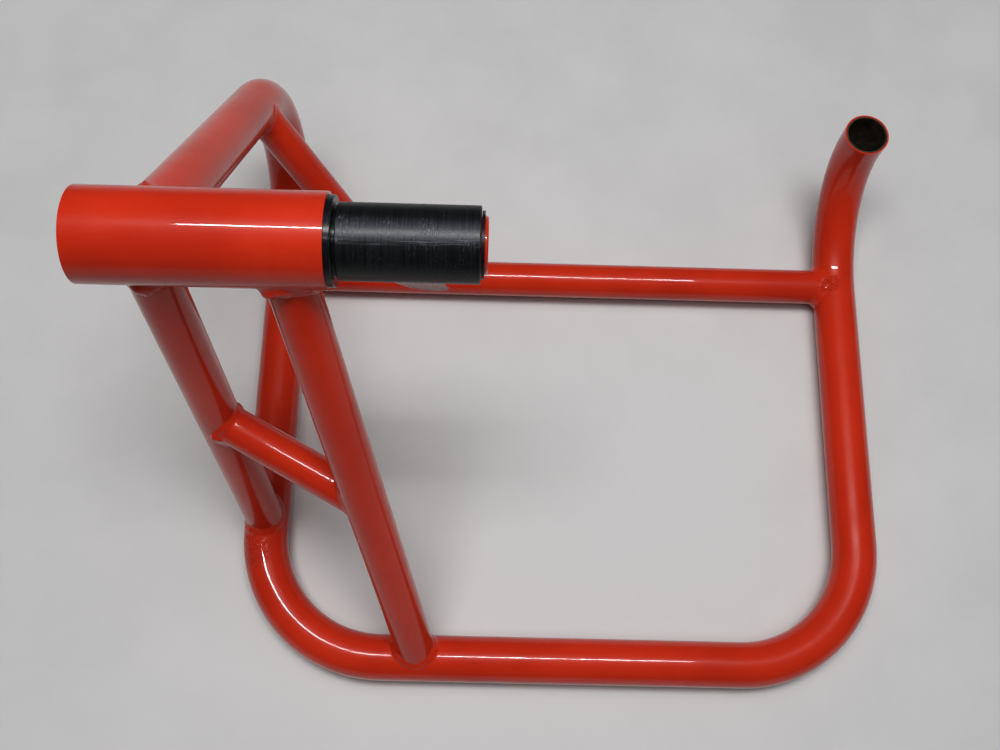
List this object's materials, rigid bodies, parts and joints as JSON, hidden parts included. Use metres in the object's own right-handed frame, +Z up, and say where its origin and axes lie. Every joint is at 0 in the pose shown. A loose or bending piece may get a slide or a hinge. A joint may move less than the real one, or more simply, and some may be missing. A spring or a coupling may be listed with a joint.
{
  "type": "paddock stand",
  "caption": "Single-sided rear paddock stand of welded round steel tube, painted red, with a free-turning black roller sleeve on a side spindle.",
  "frame": {"origin": "on the floor, at the middle of the stand's bounding box", "axes": "+Z up; +X along the spindle, out of the housing towards the roller's free end and the handle's side; +Y from the front rail back to the cross rail and the handle"},
  "size_m": [0.5144, 0.4391, 0.3661],
  "materials": {
    "red_paint": "glossy",
    "roller_nylon": "machined satin",
    "washer_nylon": "satin",
    "blackened_spring_steel": "satin black"
  },
  "bodies": {
    "frame": {"main_tube": "red_paint", "cross_rail": "red_paint", "diagonal_brace": "red_paint", "left_leg": "red_paint", "right_leg": "red_paint", "leg_brace": "red_paint", "housing_tube": "red_paint", "front_support_ring": "red_paint", "rear_support_ring": "red_paint", "spindle_tube": "red_paint", "riser_weld": "red_paint", "left_leg_top_weld": "red_paint", "right_leg_top_weld": "red_paint", "left_leg_foot_weld": "red_paint", "right_leg_foot_weld": "red_paint", "leg_brace_left_weld": "red_paint", "leg_brace_right_weld": "red_paint", "cross_rail_left_weld": "red_paint", "cross_rail_right_weld": "red_paint", "diagonal_top_weld": "red_paint", "diagonal_foot_weld": "red_paint", "front_ring_weld": "red_paint", "front_spindle_weld": "red_paint", "rear_ring_weld": "red_paint", "rear_spindle_weld": "red_paint", "thrust_washer": "washer_nylon", "retaining_ring": "blackened_spring_steel"},
    "roller": {"roller_sleeve": "roller_nylon"}
  },
  "joints": [
    {"name": "roller_spin", "type": "hinge", "parent": "frame", "child": "roller", "pos_m": [-0.08868, -0.01275, 0.341], "axis": [1, 0, 0], "continuous": true}
  ]
}
